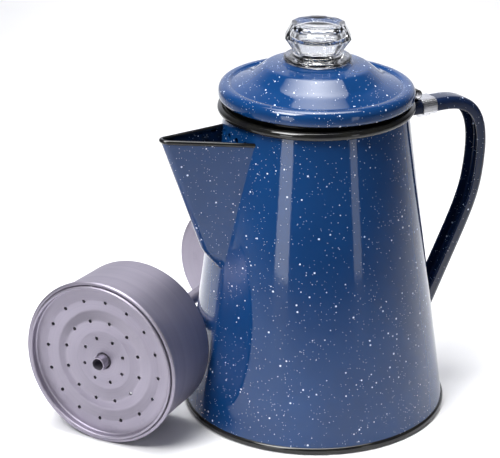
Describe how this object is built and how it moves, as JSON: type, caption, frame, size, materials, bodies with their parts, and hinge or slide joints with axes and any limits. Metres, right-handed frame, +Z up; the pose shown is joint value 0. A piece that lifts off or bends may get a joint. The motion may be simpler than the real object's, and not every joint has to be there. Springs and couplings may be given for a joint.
{
  "type": "coffee percolator",
  "caption": "Tapered enamelled camping percolator with a V spout, strap handle, hinged lid and glass knob; its basket and pump stem lie beside it.",
  "frame": {"origin": "middle of the pot's foot, on the surface it stands on", "axes": "+Z up along the pot's axis, +X to the handle, -X to the spout"},
  "size_m": [0.2542, 0.2003, 0.2115],
  "materials": {
    "blue_enamel": "gloss",
    "black_enamel": "gloss",
    "tinned_steel": "satin",
    "clear_glass": "gloss",
    "aluminium": "satin"
  },
  "bodies": {
    "pot": {"pot_body": "blue_enamel", "base_pan": "black_enamel", "spout": "blue_enamel", "handle": "blue_enamel", "hinge_clip": "tinned_steel", "hinge_pin": "tinned_steel"},
    "lid": {"lid_shell": "blue_enamel", "lid_hinge_tab": "black_enamel"},
    "knob": {"glass_knob": "clear_glass"},
    "pump": {"stem_tube": "aluminium", "stem_foot": "aluminium", "stem_ferrule": "aluminium"},
    "basket": {"basket_cup": "aluminium", "basket_sleeve": "aluminium"},
    "spreader": {"spreader_plate": "aluminium"}
  },
  "joints": [
    {"name": "lid_hinge", "type": "hinge", "parent": "pot", "child": "lid", "pos_m": [0.0586, 0, 0.165], "axis": [0, 1, 0], "range_deg": [-1, 110]},
    {"name": "knob_twist", "type": "hinge", "parent": "lid", "child": "knob", "pos_m": [0.00001, 0, 0.16602], "axis": [0.0175, 0, 0.9998], "range_deg": [0, 90]},
    {"name": "pump_slide", "type": "slide", "parent": "pot", "child": "pump", "axis": [-0.5628, 0.8266, 0], "range_m": [0, 0.15]},
    {"name": "basket_slide", "type": "slide", "parent": "pump", "child": "basket", "axis": [-0.8262, -0.5626, 0.0296], "range_m": [0, 0.07]},
    {"name": "spreader_slide", "type": "slide", "parent": "basket", "child": "spreader", "axis": [-0.8262, -0.5626, 0.0296], "range_m": [0, 0.04]}
  ]
}
